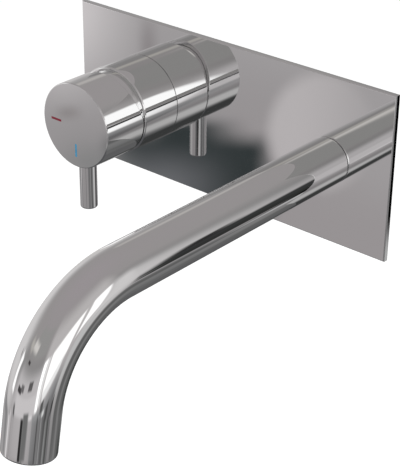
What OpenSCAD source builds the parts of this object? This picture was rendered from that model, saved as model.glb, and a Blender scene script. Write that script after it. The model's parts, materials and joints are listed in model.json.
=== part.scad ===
// Wall-mounted basin mixer. A flat cover plate carries the control on the left, a knob with
// a thin lever that tilts for flow and turns for temperature, and a bent tube spout on the
// right. X runs to the right, Y into the wall and Z up. The origin is the middle of the
// cover plate's back face, which lies on the finished wall. Millimetres.

/* [Cover plate] */
// Width of the cover plate
plate_w = 200; // [190:1:240]
// Height of the cover plate
plate_h = 85.5; // [70:0.5:120]
// Depth of the plate's folded edge, which is how far its face stands off the wall
plate_t = 2.8; // [2.4:0.1:5]
// Thickness of the plate's front skin
plate_skin = 1.6; // [1:0.1:2]
// Width of the plate's folded edge
plate_rim = 2; // [1.2:0.1:4]
// Chamfer on the plate's four front edges
plate_chamfer = 0.5; // [0.2:0.1:0.9]
// Width of the foam band behind the plate's edge
foam_w = 6; // [3:0.5:12]
// Distance of the control's axis from the plate's left edge
control_inset = 45; // [38:0.5:50]
// Distance of the spout's axis from the plate's right edge
spout_inset = 35.7; // [28:0.1:42]

/* [Sleeve] */
// Diameter of the fixed sleeve
sleeve_d = 46.2; // [45.8:0.1:50]
// Length of the fixed sleeve
sleeve_l = 24.5; // [22:0.1:30]
// Wall of the sleeve round the dome cap
sleeve_wall = 1.7; // [1.2:0.1:1.9]
// Chamfer on the sleeve's front edge
sleeve_chamfer = 0.5; // [0.2:0.1:0.8]
// Chamfer on the sleeve's edge at the plate
sleeve_foot = 0.2; // [0.1:0.05:0.5]

/* [Knob and lever] */
// Diameter of the knob
knob_d = 45.2; // [44.8:0.1:48]
// Length of the knob
knob_l = 26.5; // [25:0.5:36]
// Gap between the sleeve and the knob
knob_gap = 0.7; // [0.4:0.1:1.2]
// Rounding of the rim of the knob's face
knob_edge = 0.6; // [0.3:0.1:1.2]
// Depth of the knob's hollow over the dome cap
hollow_depth = 13.5; // [12.5:0.1:14.2]
// Radial clearance between the dome cap and the knob's hollow
dome_clear = 0.4; // [0.3:0.05:0.8]
// Angle through which the knob tilts to full flow
tilt_range = 15; // [8:0.5:15]
// Angle of the slanting cut behind the upper half of the knob
relief_angle = 15.25; // [15.05:0.05:18]
// Diameter of the lever
lever_d = 9.2; // [7:0.1:10.5]
// Distance of the lever's tip below the control's axis
lever_reach = 48; // [38:0.5:70]
// Distance of the lever's axis behind the knob's face
lever_inset = 8.2; // [6.5:0.1:8.3]
// Rounding of the lever's tip
lever_edge = 1; // [0.4:0.1:2]
// Diameter of the lever's screwed spigot
spigot_d = 6; // [4:0.1:6.4]
// Length of the lever's screwed spigot
spigot_l = 9; // [6:0.5:10]
// Diameter of the grub screw that clamps the stem
grub_d = 5; // [3:0.1:5.8]
// Length of the grub screw that clamps the stem
grub_l = 6.5; // [4:0.5:7]

/* [Colour marks] */
// Length of each mark on the knob's face
mark_l = 7; // [4:0.5:9]
// Width of each mark
mark_w = 1.2; // [0.6:0.1:2]
// Depth of the enamel in each mark
mark_t = 0.3; // [0.2:0.05:0.6]
// Distance of each mark's inner end from the knob's axis
mark_r = 10; // [7:0.5:12]

/* [Dome cap and nut] */
// Wall of the dome cap
dome_wall = 1.5; // [1:0.1:1.6]
// Length of the cartridge nut behind its lip
nut_l = 8.8; // [7:0.1:9.5]
// Thickness of the cartridge nut's lip
nut_lip = 2.4; // [1.6:0.1:2.6]
// Width of the four wrench notches in the nut
notch_w = 4; // [2:0.5:6]
// Depth of the wrench notches
notch_depth = 2.7; // [1:0.1:3]

/* [Cartridge] */
// Diameter of the cartridge
cartridge_d = 28; // [27.4:0.1:28.6]
// Wall of the cartridge housing
housing_wall = 1.5; // [1.2:0.1:1.8]
// Thickness of the housing's front wall
housing_roof = 2.85; // [2:0.05:3.2]
// Distance from the housing's front face to the tilt axis
pivot_stand = 5; // [4.5:0.1:6]
// Diameter of the turning guide's neck
neck_d = 18; // [17.4:0.1:18.6]
// Length of the guide's neck in front of the tilt axis
neck_above = 3; // [2.6:0.1:4]
// Thickness of the guide's disc
guide_t = 4; // [3:0.1:4.4]
// Diameter of the pivot pin
pivot_d = 3; // [2:0.1:3.4]
// Length of the pivot pin
pivot_l = 15; // [12:0.5:16]
// Side of the stem's square shank
stem_w = 7; // [6:0.1:7.4]
// Depth of the stem's shank in the knob
stem_grip = 8; // [6:0.1:8.4]
// Diameter of the stem's inner finger
finger_d = 3.2; // [2.4:0.1:3.4]
// Diameter of the ball on the finger's end
ball_d = 4; // [3.6:0.1:4.2]
// Thickness of the disc carrier
carrier_t = 3.9; // [3.6:0.1:4.4]
// Thickness of the moving ceramic disc
moving_t = 3; // [2.6:0.1:3.6]
// Thickness of the fixed ceramic disc
fixed_t = 3.45; // [2.6:0.05:4]
// Thickness of the cartridge base
base_t = 5.2; // [4.4:0.1:6]
// Diameter of the circle on which the hot and cold ports lie
port_ring_d = 12; // [11.6:0.1:12.4]
// Diameter of the hot and cold ports
port_d = 4; // [3:0.1:4]
// Diameter of the circle on which the outlet port lies
outlet_ring_d = 10; // [9.6:0.1:10.4]
// Diameter of the outlet port
outlet_port_d = 4.8; // [3.6:0.1:5]
// Diameter of the rubber cord of the port seals
port_cord = 1.2; // [1:0.05:1.3]

/* [Spout] */
// Outer diameter of the spout tube
spout_d = 23.8; // [22.5:0.1:26]
// Wall of the spout tube
spout_wall = 1.5; // [1:0.1:1.8]
// Distance from the wall to the middle of the outlet
spout_reach = 202.5; // [150:0.5:260]
// Radius of the bend at the tube's middle
bend_r = 51.3; // [30:0.1:70]
// Angle of the bend
bend_angle = 79.5; // [70:0.5:90]
// Length of the straight end after the bend
spout_drop = 19.6; // [17:0.1:45]
// Rounding of the outlet's edge
spout_edge = 1.1; // [0.5:0.1:1.4]
// Diameter of the grub screw under the spout
lock_d = 4; // [3:0.1:5]
// Distance of that grub screw from the wall
lock_y = 6.4; // [6:0.1:8]

/* [Nipple] */
// Wall of the nipple
nipple_wall = 2.6; // [2.2:0.1:3.2]
// Length of the nipple in front of the wall
nipple_out = 22; // [19:0.5:34]
// Depth of the nipple's thread in the valve body
nipple_in = 14; // [10:0.5:16]
// Diameter of the rubber cord of the ring seals
ring_cord = 1.7; // [1.4:0.1:1.8]
// Distance between the nipple's two ring seals
ring_pitch = 6; // [4:0.5:7]

/* [Aerator] */
// Length of the aerator holder
holder_l = 8; // [6:0.5:10]
// Wall of the aerator holder
holder_wall = 1.25; // [1:0.05:1.6]
// Depth of the aerator behind the outlet's edge
aerator_recess = 0.8; // [0.4:0.1:3]
// Distance between the honeycomb's cells
cell_pitch = 2.4; // [1.6:0.1:2.5]
// Web between the honeycomb's cells
cell_web = 0.4; // [0.3:0.05:0.6]
// Number of rings of cells round the middle one
cell_rings = 3; // [2:1:3]
// Thickness of the flow grid behind the honeycomb
grid_t = 0.6; // [0.4:0.1:1]
// Thickness of the aerator's sealing washer
washer_t = 1.5; // [1:0.1:2.5]
// Thickness of the shoulder that the washer seats on
shoulder_t = 2; // [1:0.1:3]

/* [Valve body] */
// Wall of the valve body's thread round the cartridge
collar_wall = 2.4; // [1.8:0.1:2.5]
// Outer diameter of the collar that carries the sleeve
collar_d = 39; // [38.6:0.1:39.4]
// Depth of the inlets' axes and the cross bar's axis behind the wall
inlet_depth = 22; // [20:0.5:24]
// Height of the cross bar's axis above the control's axis
bar_rise = 7; // [6:0.5:9]
// Diameter of the cross bar
bar_d = 17; // [14:0.5:18]
// Diameter of the cross bar's bore
bar_bore = 9; // [6:0.5:9]
// Distance of each inlet from the control's axis
inlet_x = 22; // [21:0.5:26]
// Distance of the inlets' mouths below the control's axis
inlet_drop = 40; // [34:0.5:60]
// Outer diameter of the inlet sockets
inlet_d = 26; // [24:0.5:28]
// Diameter of the inlets' thread bore
inlet_thread_d = 18.64; // [14.9:0.01:18.8]
// Depth of the inlets' thread bore
inlet_thread_l = 15; // [10:0.5:18]
// Diameter of the passage above each inlet's thread
inlet_bore = 13; // [9:0.5:13.5]
// Diameter of the strainers' flanges
strainer_d = 16; // [14:0.5:17]
// Diameter of the cross passages to the cartridge
cross_bore = 8; // [5:0.5:8]
// Diameter of the spout socket
socket_d = 30; // [27:0.5:32]
// Height of the fixing lugs' holes above the axes
lug_z = 22.5; // [22:0.5:30]
// Thickness of the fixing lugs
lug_t = 6; // [4:0.5:8]
// Width of the fixing lugs
lug_w = 14; // [12:0.5:18]
// Diameter of the fixing holes
lug_hole_d = 5.5; // [4:0.1:6.5]

/* [Hidden] */
$fn = 96;

// Clearances: a turning or sliding fit, a push fit, two seated faces and a loose gap
run_fit = 0.08;
push_fit = 0.05;
seat = 0.05;
loose = 0.3;
// How far a cut reaches past the face that it opens
cut = 1;
// The tube's straight end starts inside the bend by this much, and is this much slimmer
weld_reach = 0.9;
weld_step = 0.03;

// Colours
chrome = "silver";
brass = "goldenrod";
steel = "lightsteelblue";
white_plastic = "whitesmoke";
grey_plastic = "slategray";
ceramic = "ivory";
rubber = "dimgray";
enamel_red = "crimson";
enamel_blue = "deepskyblue";

// Places of the two axes to the left and right of the plate's middle
control_x = plate_w / 2 - control_inset;
spout_x = plate_w / 2 - spout_inset;

// Distances out from the wall along the control's axis, from the front back
pivot = plate_t + sleeve_l + knob_gap;
knob_face = pivot + knob_l;
hollow_roof = pivot + hollow_depth;
lever_out = knob_face - lever_inset;
stem_end = hollow_roof + stem_grip;
neck_top = pivot + neck_above;
housing_top = pivot - pivot_stand;
guide_top = housing_top - housing_roof - run_fit;
guide_bottom = guide_top - guide_t;
carrier_top = guide_bottom - run_fit;
carrier_bottom = carrier_top - carrier_t;
moving_bottom = carrier_bottom - moving_t;
fixed_top = moving_bottom - seat;
fixed_bottom = fixed_top - fixed_t;
base_bottom = fixed_bottom - base_t;
seal_stand = port_cord / 4;
pocket_floor = base_bottom - seal_stand;

// Radii about the control's axis
sleeve_r = sleeve_d / 2;
sleeve_in_r = sleeve_r - sleeve_wall;
knob_r = knob_d / 2;
dome_r = sleeve_in_r - dome_clear;
hollow_r = dome_r + dome_clear;
dome_in_r = dome_r - dome_wall;
nut_r = dome_in_r - 2 * run_fit;
collar_r = collar_d / 2;
housing_r = cartridge_d / 2;
pocket_r = housing_r + run_fit;
thread_r = pocket_r + collar_wall;
chamber_r = housing_r - housing_wall;
neck_r = neck_d / 2;
guide_r = chamber_r - 2 * run_fit;

// The dome cap's front edge stays clear of the tilted knob's hollow by this angle
dome_margin = 2;
dome_open_angle = acos(hollow_depth / dome_r) + tilt_range + dome_margin;
dome_open_r = dome_r * sin(dome_open_angle);

// The cartridge nut clamps the housing's front face, and the collar's thread ends below it
nut_back = housing_top - nut_l;
nut_front = housing_top + seat + nut_lip;
collar_step = nut_back - loose;
thread_end = housing_top - 2 * loose;
dome_back = collar_step + loose;

// The stem's finger drives the disc carrier: its ball lies this far behind the tilt axis
ball_floor = 0.3;
ball_z = carrier_bottom + ball_floor + ball_d / 2;
ball_arm = pivot - ball_z;
disc_travel = ball_arm * tilt_range * PI / 180;
carrier_shift = disc_travel / 2;
carrier_r = chamber_r - carrier_shift - 2 * run_fit;
shank_tail = 5.5;
shank_back = pivot - shank_tail;
shank_corner = norm([pivot - shank_back, stem_w / 2]);
slot_floor = pivot - shank_corner - loose;

// Keys of the guide in the carrier, and the housing's key that stops the turn
rail_x = 6.5;
rail_w = 2;
rail_h = 1.5;
rail_l = 10;
stop_w = 2.4;
stop_h = 1.6;
stop_angle = 45;
turn_range = 90;

// The mixing hollow in the moving disc, as two round pockets that join
mix_h = 1.6;
mix_upper_r = 3.9;
mix_upper_z = 4.2;
mix_lower_r = 2.9;
mix_lower_z = -0.7;
peg_x = 7.6;
peg_r = 1;
peg_l = 1.2;

// Ports of the fixed disc, the base and the valve body: x, height and diameter
port_hot = [-port_ring_d / 2, 0, port_d];
port_cold = [0, -port_ring_d / 2, port_d];
port_out = [outlet_ring_d / 2 * cos(45), outlet_ring_d / 2 * sin(45), outlet_port_d];
ports = [port_hot, port_cold, port_out];
locator_ring_r = 11;
locator_r = 1.3;
locator_l = 2;

// Lever and screw distances down from the control's axis
lever_sink = 1.5;
lever_seat = knob_r - lever_sink;
spigot_top = lever_seat - spigot_l;
grub_top = stem_w / 2 + run_fit;
grub_bottom = grub_top + grub_l;

// Spout, nipple and aerator
spout_run = spout_reach - bend_r * sin(bend_angle) - spout_drop * cos(bend_angle);
spout_r = spout_d / 2;
spout_in_r = spout_r - spout_wall;
nipple_r = spout_in_r - push_fit;
nipple_in_r = nipple_r - nipple_wall;
socket_face = -2;
nipple_back = socket_face - nipple_in;
lock_depth = 1.6;
ring_margin = 3;
ring_first = nipple_out - ring_margin - ring_pitch;
hole_clear = 0.7;
holder_out = spout_drop - aerator_recess;
holder_in = holder_out - holder_l;
holder_r = spout_in_r - push_fit;
insert_r = holder_r - holder_wall - push_fit;
groove_w = 1.3 * ring_cord;
holder_lip_t = 1;
holder_lip_w = 0.7;
insert_out = holder_out - holder_lip_t - seat;
grid_in = holder_in + seat;
insert_in = grid_in + grid_t;
washer_in = holder_in - seat - washer_t;
washer_w = 1.8;
shoulder_in = washer_in - seat - shoulder_t;

// Valve body
back_metal = 1;
chamber_end = -(inlet_depth + bar_d / 2 + back_metal);
inlet_top = 9;
lug_x = [-control_x - inlet_x, spout_x];
strainer_wall = 0.8;
strainer_l = 12;
strainer_seat = inlet_thread_l - inlet_drop + strainer_wall + 2 * seat;
strainer_slots = 6;
strainer_slot_w = 1.6;

// Frames: local Z points out of the wall and local Y up, on the control's or spout's axis
module control_axis() {
    translate([-control_x, 0, 0])
        rotate([90, 0, 0])
            children();
}

module spout_axis() {
    translate([spout_x, 0, 0])
        rotate([90, 0, 0])
            children();
}

// Local Z points down the lever
module lever_axis() {
    control_axis()
        translate([0, 0, lever_out])
            rotate([90, 0, 0])
                children();
}

// Local Z follows the tube after the bend, from the bend's end
module outlet_axis() {
    spout_axis()
        translate([0, -bend_r, spout_run])
            rotate([bend_angle, 0, 0])
                translate([0, bend_r, 0])
                    children();
}

// A round bar from one height to another
module rod(r, z0, z1) {
    translate([0, 0, z0])
        cylinder(r = r, h = z1 - z0);
}

// A round bar across, along X from x0 to x1 at height y and distance z
module cross_rod(r, x0, x1, y, z) {
    translate([x0, y, z])
        rotate([0, 90, 0])
            cylinder(r = r, h = x1 - x0);
}

// A round bar that hangs down, from height y0 to the lower y1
module drop_rod(r, x, y0, y1, z) {
    translate([x, y0, z])
        rotate([90, 0, 0])
            cylinder(r = r, h = y0 - y1);
}

module ring(r_out, r_in, z0, z1) {
    difference() {
        rod(r_out, z0, z1);
        rod(r_in, z0 - cut, z1 + cut);
    }
}

// A ring seal of round cord whose outside touches radius r
module cord_ring(r, cord, z) {
    translate([0, 0, z])
        rotate_extrude()
            translate([r - cord / 2, 0])
                circle(d = cord);
}

// A block centred across X and Y, from one height to another
module block(w, h, z0, z1) {
    translate([-w / 2, -h / 2, z0])
        cube([w, h, z1 - z0]);
}

// A bar outline whose two front corners are cut at 45 degrees
module chamfered_outline(w, t, c) {
    polygon([[-w / 2, 0], [w / 2, 0], [w / 2, t - c], [w / 2 - c, t], [c - w / 2, t], [-w / 2, t - c]]);
}

module cover_plate() {
    color(chrome)
        rotate([90, 0, 0])
            difference() {
                intersection() {
                    translate([0, plate_h / 2, 0])
                        rotate([90, 0, 0])
                            linear_extrude(plate_h)
                                chamfered_outline(plate_w, plate_t, plate_chamfer);
                    translate([-plate_w / 2, 0, 0])
                        rotate([90, 0, 90])
                            linear_extrude(plate_w)
                                chamfered_outline(plate_h, plate_t, plate_chamfer);
                }
                block(plate_w - 2 * plate_rim, plate_h - 2 * plate_rim, -cut, plate_t - plate_skin);
                translate([-control_x, 0, 0])
                    rod(collar_r + loose, -cut, plate_t + cut);
                translate([spout_x, 0, 0])
                    rod(nipple_r + hole_clear, -cut, plate_t + cut);
            }
}

// Soft band that seals the plate against the wall, inside the plate's folded edge
module plate_foam() {
    w = plate_w - 2 * (plate_rim + loose);
    h = plate_h - 2 * (plate_rim + loose);
    color(rubber)
        rotate([90, 0, 0])
            difference() {
                block(w, h, 0, plate_t - plate_skin);
                block(w - 2 * foam_w, h - 2 * foam_w, -cut, plate_t + cut);
            }
}

// Fixed sleeve: its back bore grips the collar's ring seal, its front hides the dome cap
module control_sleeve() {
    bore = collar_r + push_fit;
    front = plate_t + sleeve_l;
    color(chrome)
        control_axis()
            rotate_extrude()
                polygon([
                    [bore, plate_t], [sleeve_r - sleeve_foot, plate_t],
                    [sleeve_r, plate_t + sleeve_foot], [sleeve_r, front - sleeve_chamfer],
                    [sleeve_r - sleeve_chamfer, front], [sleeve_in_r, front],
                    [sleeve_in_r, dome_back - loose], [bore, dome_back - loose]
                ]);
}

// Middle of the groove for the sleeve's ring seal
seal_z = plate_t + (collar_step - plate_t) / 2;

module sleeve_seal() {
    color(rubber)
        control_axis()
            cord_ring(collar_r, ring_cord, seal_z);
}

// Screwed cap whose front is a zone of a sphere about the tilt axis
module dome_cap() {
    color(chrome)
        control_axis()
            rotate_extrude()
                difference() {
                    union() {
                        translate([0, pivot])
                            intersection() {
                                circle(r = dome_r);
                                square([dome_r, dome_r]);
                            }
                        translate([0, dome_back])
                            square([dome_r, pivot - dome_back]);
                    }
                    translate([0, pivot])
                        circle(r = dome_in_r);
                    translate([0, dome_back - cut])
                        square([dome_in_r, pivot - dome_back + cut]);
                    translate([0, pivot])
                        square([dome_open_r, dome_r + cut]);
                }
}

// Section of the knob, with the rim of its face rounded
module knob_profile() {
    translate([0, pivot])
        square([knob_r, knob_l - knob_edge]);
    translate([0, pivot])
        square([knob_r - knob_edge, knob_l]);
    translate([knob_r - knob_edge, knob_face - knob_edge])
        circle(r = knob_edge);
}

// Slanting cut behind the upper half of the knob, hinged on the tilt axis
module relief_cut() {
    reach = knob_r + cut;
    rise = reach * tan(relief_angle);
    translate([-reach, 0, pivot])
        rotate([90, 0, 90])
            linear_extrude(2 * reach)
                polygon([[0, 0], [reach, rise], [reach, -cut], [0, -cut]]);
}

// A mark's outline on the knob's face, along local X, with the given clearance round it
module mark_bar(angle, gap) {
    rotate([0, 0, angle])
        translate([mark_r - gap, -mark_w / 2 - gap, knob_face - mark_t - gap])
            cube([mark_l + 2 * gap, mark_w + 2 * gap, mark_t + gap]);
}

module handle_knob() {
    color(chrome)
        difference() {
            control_axis()
                difference() {
                    rotate_extrude()
                        knob_profile();
                    rod(hollow_r, pivot - cut, hollow_roof);
                    relief_cut();
                    block(stem_w + 2 * run_fit, stem_w + 2 * run_fit, hollow_roof - cut, stem_end + loose);
                    mark_recess(hot_angle);
                    mark_recess(cold_angle);
                }
            lever_axis() {
                rod(grub_d / 2 + run_fit, 0, spigot_top);
                rod(spigot_d / 2 + push_fit, spigot_top - cut, knob_r);
                rod(lever_d / 2 + push_fit, lever_seat, knob_r + cut);
            }
        }
}

// Directions of the marks on the knob's face: hot to the left, cold below
hot_angle = 180;
cold_angle = 270;

// The recess that holds a mark is open at the knob's face
module mark_recess(angle) {
    mark_bar(angle, push_fit);
    translate([0, 0, push_fit])
        mark_bar(angle, push_fit);
}

// Straight round lever, screwed into the knob from below
module lever_pin() {
    r = lever_d / 2;
    color(chrome)
        lever_axis()
            rotate_extrude() {
                translate([0, spigot_top + loose])
                    square([spigot_d / 2, lever_seat - spigot_top]);
                translate([0, lever_seat + seat])
                    square([r, lever_reach - lever_edge - lever_seat - seat]);
                translate([0, lever_seat + seat])
                    square([r - lever_edge, lever_reach - lever_seat - seat]);
                translate([r - lever_edge, lever_reach - lever_edge])
                    circle(r = lever_edge);
            }
}

// Grub screw above the lever's spigot, which clamps the knob on the stem
module handle_screw() {
    color(steel)
        lever_axis()
            difference() {
                rod(grub_d / 2, grub_top, grub_bottom);
                translate([0, 0, grub_bottom - grub_l / 2])
                    cylinder(d = grub_d / 2, h = grub_l, $fn = 6);
            }
}

module hot_mark() {
    color(enamel_red)
        control_axis()
            mark_bar(hot_angle, 0);
}

module cold_mark() {
    color(enamel_blue)
        control_axis()
            mark_bar(cold_angle, 0);
}

// Nut that clamps the cartridge in the valve body, with four notches for a wrench
module cartridge_nut() {
    color(brass)
        control_axis()
            difference() {
                rod(nut_r, nut_back, nut_front);
                rod(thread_r + push_fit, nut_back - cut, housing_top + seat);
                rod(neck_r + 2 * loose, nut_back, nut_front + cut);
                for (turn = [0 : 90 : 270])
                    rotate([0, 0, turn])
                        translate([nut_r, 0, 0])
                            block(2 * notch_depth, notch_w, housing_top + seat, nut_front + cut);
            }
}

// Plastic cup of the cartridge, with an inner key that stops the guide's turn
module cartridge_housing() {
    key_top = guide_bottom + stop_h;
    color(white_plastic)
        control_axis() {
            difference() {
                rod(housing_r, base_shoulder, housing_top);
                rod(chamber_r, base_shoulder - cut, housing_top - housing_roof);
                rod(neck_r + run_fit, base_shoulder, housing_top + cut);
            }
            rotate([0, 0, stop_angle])
                intersection() {
                    ring(housing_r, chamber_r - stop_h, guide_bottom, key_top);
                    translate([housing_r, 0, 0])
                        block(housing_r, stop_w, guide_bottom, key_top);
                }
        }
}

// Height at which the housing stands on the base's flange
base_shoulder = base_bottom + base_t * 0.7;

// Turning guide: its neck turns in the housing and carries the pivot pin
module turning_guide() {
    clear_angle = asin(stop_w / 2 / (chamber_r - stop_h)) + 0.6;
    finger_r = finger_d / 2;
    finger_up = (pivot - guide_bottom) * tan(tilt_range);
    color(grey_plastic)
        control_axis()
            difference() {
                union() {
                    rod(guide_r, guide_bottom, guide_top);
                    rod(neck_r, guide_bottom, neck_top);
                    for (side = [-1, 1])
                        translate([side * rail_x, 0, 0])
                            block(rail_w, rail_l, guide_bottom - rail_h, guide_bottom + cut);
                }
                shank_slot();
                translate([-finger_r - loose, -finger_up - finger_r - 2 * loose, guide_bottom - cut])
                    cube([finger_d + 2 * loose, finger_up + finger_d + 3 * loose, pivot - guide_bottom]);
                cross_rod(pivot_d / 2 + push_fit, -neck_r - cut, neck_r + cut, 0, pivot);
                rotate([0, 0, stop_angle - clear_angle])
                    rotate_extrude(angle = turn_range + 2 * clear_angle)
                        translate([chamber_r - stop_h - loose, guide_bottom - cut])
                            square([stop_h + 2 * loose, stop_h + loose + cut]);
            }
}

// Room for the stem's square shank to tilt in the guide's neck
module shank_slot() {
    front = (stem_w / 2 + neck_above * sin(tilt_range)) / cos(tilt_range) + loose;
    back = stem_w / 2 * cos(tilt_range) + (pivot - shank_back) * sin(tilt_range) + loose;
    translate([-stem_w / 2 - run_fit, -back, slot_floor])
        cube([stem_w + 2 * run_fit, back + front, neck_top - slot_floor + cut]);
}

module pivot_pin() {
    color(steel)
        control_axis()
            cross_rod(pivot_d / 2, -pivot_l / 2, pivot_l / 2, 0, pivot);
}

// Stem: a square shank that the knob sits on, and a finger whose ball drives the carrier
module stem() {
    color(steel)
        control_axis()
            difference() {
                union() {
                    block(stem_w, stem_w, shank_back, stem_end);
                    rod(finger_d / 2, ball_z, pivot);
                    translate([0, 0, ball_z])
                        sphere(d = ball_d);
                }
                cross_rod(pivot_d / 2 + run_fit, -stem_w, stem_w, 0, pivot);
            }
}

// Carrier of the moving disc, with grooves for the guide's keys and a socket for the ball
module disc_carrier() {
    color(grey_plastic)
        control_axis() {
            difference() {
                translate([0, carrier_shift, 0])
                    rod(carrier_r, carrier_bottom, carrier_top);
                for (side = [-1, 1])
                    translate([side * rail_x, 0, 0])
                        block(rail_w + 2 * run_fit, 3 * carrier_r, carrier_top - rail_h - run_fit, carrier_top + cut);
                rod(ball_d / 2 + 2 * run_fit, carrier_bottom + ball_floor / 2, carrier_top + cut);
            }
            for (side = [-1, 1])
                translate([side * peg_x, carrier_shift, 0])
                    rod(peg_r, carrier_bottom - peg_l, carrier_bottom + cut);
        }
}

// Moving ceramic disc: the hollow in its back joins the outlet to the ports it uncovers
module moving_disc() {
    color(ceramic)
        control_axis()
            difference() {
                translate([0, carrier_shift, 0])
                    rod(carrier_r, moving_bottom, carrier_bottom);
                translate([0, mix_upper_z, 0])
                    rod(mix_upper_r, moving_bottom - cut, moving_bottom + mix_h);
                translate([0, mix_lower_z, 0])
                    rod(mix_lower_r, moving_bottom - cut, moving_bottom + mix_h);
                for (side = [-1, 1])
                    translate([side * peg_x, carrier_shift, 0])
                        rod(peg_r + push_fit, carrier_bottom - peg_l - push_fit, carrier_bottom + cut);
            }
}

// The three passages of the cartridge, from one height to another
module port_rods(z0, z1) {
    for (port = ports)
        translate([port[0], port[1], 0])
            rod(port[2] / 2, z0, z1);
}

module fixed_disc() {
    color(ceramic)
        control_axis()
            difference() {
                rod(chamber_r - run_fit, fixed_bottom, fixed_top);
                port_rods(fixed_bottom - cut, fixed_top + cut);
            }
}

// Base of the cartridge: a flange under the housing, seal grooves and two locating pegs
module cartridge_base() {
    color(white_plastic)
        control_axis() {
            difference() {
                union() {
                    rod(housing_r, base_bottom, base_shoulder);
                    rod(chamber_r - run_fit, base_bottom, fixed_bottom);
                }
                port_rods(base_bottom - cut, fixed_bottom + cut);
                for (port = ports)
                    translate([port[0], port[1], 0])
                        rod(port[2] / 2 + port_cord + push_fit, base_bottom - cut, base_bottom + port_cord);
            }
            for (turn = [135, 315])
                rotate([0, 0, turn])
                    translate([locator_ring_r, 0, 0])
                        rod(locator_r, base_bottom - locator_l, base_bottom + cut);
        }
}

module port_seals() {
    color(rubber)
        control_axis()
            for (port = ports)
                translate([port[0], port[1], 0])
                    cord_ring(port[2] / 2 + port_cord, port_cord, pocket_floor + port_cord / 2);
}

// Solid form of the brass casting in the wall, before it is bored
module body_casting() {
    control_axis() {
        rod(collar_r, chamber_end, collar_step);
        rod(thread_r, pocket_floor, thread_end);
        for (side = [-1, 1])
            drop_rod(inlet_d / 2, side * inlet_x, inlet_top, -inlet_drop, -inlet_depth);
        cross_rod(bar_d / 2, 0, control_x + spout_x, bar_rise, -inlet_depth);
    }
    spout_axis()
        rod(socket_d / 2, chamber_end, socket_face);
    for (x = lug_x)
        translate([x, 0, 0])
            rotate([90, 0, 0]) {
                rod_at_lug();
                translate([0, lug_z / 2, 0])
                    block(lug_w, lug_z, -inlet_depth - lug_t / 2, -inlet_depth + lug_t / 2);
            }
}

module rod_at_lug() {
    translate([0, lug_z, 0])
        rod(lug_w / 2, -inlet_depth - lug_t / 2, -inlet_depth + lug_t / 2);
}

// Passages of the casting: cartridge pocket, two inlets, the outlet and the spout's socket
module body_passages() {
    control_axis() {
        rod(pocket_r, pocket_floor, thread_end + cut);
        ring(collar_r + cut, collar_r - ring_cord, seal_z - groove_w / 2, seal_z + groove_w / 2);
        for (turn = [135, 315])
            rotate([0, 0, turn])
                translate([locator_ring_r, 0, 0])
                    rod(locator_r + run_fit, base_bottom - locator_l - loose, base_bottom);
        inlet_passage(-1, port_hot);
        inlet_passage(1, port_cold);
        translate([port_out[0], port_out[1], 0])
            rod(port_out[2] / 2, -inlet_depth, pocket_floor + cut);
        cross_rod(bar_bore / 2, port_out[0] - port_out[2], control_x + spout_x, bar_rise, -inlet_depth);
    }
    spout_axis() {
        rod(nipple_r + push_fit, nipple_back - loose, socket_face + cut);
        rod(nipple_in_r, -inlet_depth, nipple_back);
    }
    for (x = lug_x)
        translate([x, 0, 0])
            rotate([90, 0, 0])
                translate([0, lug_z, 0])
                    rod(lug_hole_d / 2, -inlet_depth - lug_t, -inlet_depth + lug_t);
}

// An inlet's thread bore and passage, with the cross passage to its port
module inlet_passage(side, port) {
    reach = [min(side * inlet_x, port[0]), max(side * inlet_x, port[0])];
    drop_rod(inlet_thread_d / 2, side * inlet_x, inlet_thread_l - inlet_drop, -inlet_drop - cut, -inlet_depth);
    drop_rod(strainer_d / 2 + push_fit, side * inlet_x, strainer_seat, -inlet_drop, -inlet_depth);
    drop_rod(inlet_bore / 2, side * inlet_x, port[1] + cross_bore / 2, -inlet_drop, -inlet_depth);
    cross_rod(cross_bore / 2, reach[0], reach[1], port[1], -inlet_depth);
    translate([port[0], port[1], 0])
        rod(port[2] / 2, -inlet_depth, pocket_floor + cut);
}

module valve_body() {
    color(brass)
        difference() {
            body_casting();
            body_passages();
        }
}

// Slotted filter cups in the two inlets, with flanges in the seats above the threads
module inlet_strainers() {
    r = inlet_bore / 2 - push_fit;
    color(steel)
        for (side = [-1, 1])
            translate([side * inlet_x - control_x, inlet_depth, strainer_seat - seat])
                difference() {
                    union() {
                        rod(r, 0, strainer_l);
                        rod(strainer_d / 2, -strainer_wall, 0);
                    }
                    rod(r - strainer_wall, -2 * strainer_wall, strainer_l - strainer_wall);
                    for (turn = [0 : 180 / strainer_slots : 179])
                        rotate([0, 0, turn])
                            block(2 * inlet_bore, strainer_slot_w, 2 * strainer_wall, strainer_l - 3 * strainer_wall);
                }
}

// Heights of the grooves on the nipple
ring_zs = [ring_first, ring_first + ring_pitch];

// Threaded tube from the valve body to the spout
module spout_nipple() {
    color(brass)
        spout_axis()
            difference() {
                rod(nipple_r, nipple_back, nipple_out);
                rod(nipple_in_r, nipple_back - cut, nipple_out + cut);
                for (z = ring_zs)
                    ring(nipple_r + cut, nipple_r - ring_cord, z - groove_w / 2, z + groove_w / 2);
                drop_rod(lock_d / 2 + run_fit, 0, lock_depth - nipple_r, -spout_r, lock_y);
            }
}

module nipple_seals() {
    color(rubber)
        spout_axis()
            for (z = ring_zs)
                cord_ring(nipple_r, ring_cord, z);
}

// The spout's path as a solid bar of radius r, open past both ends by the given reach
module spout_bar(r, reach) {
    spout_axis() {
        rod(r, plate_t - reach, spout_run);
        translate([0, -bend_r, spout_run])
            rotate([90, 0, 90])
                rotate_extrude(angle = bend_angle)
                    translate([bend_r, 0])
                        circle(r = r);
    }
}

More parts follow.
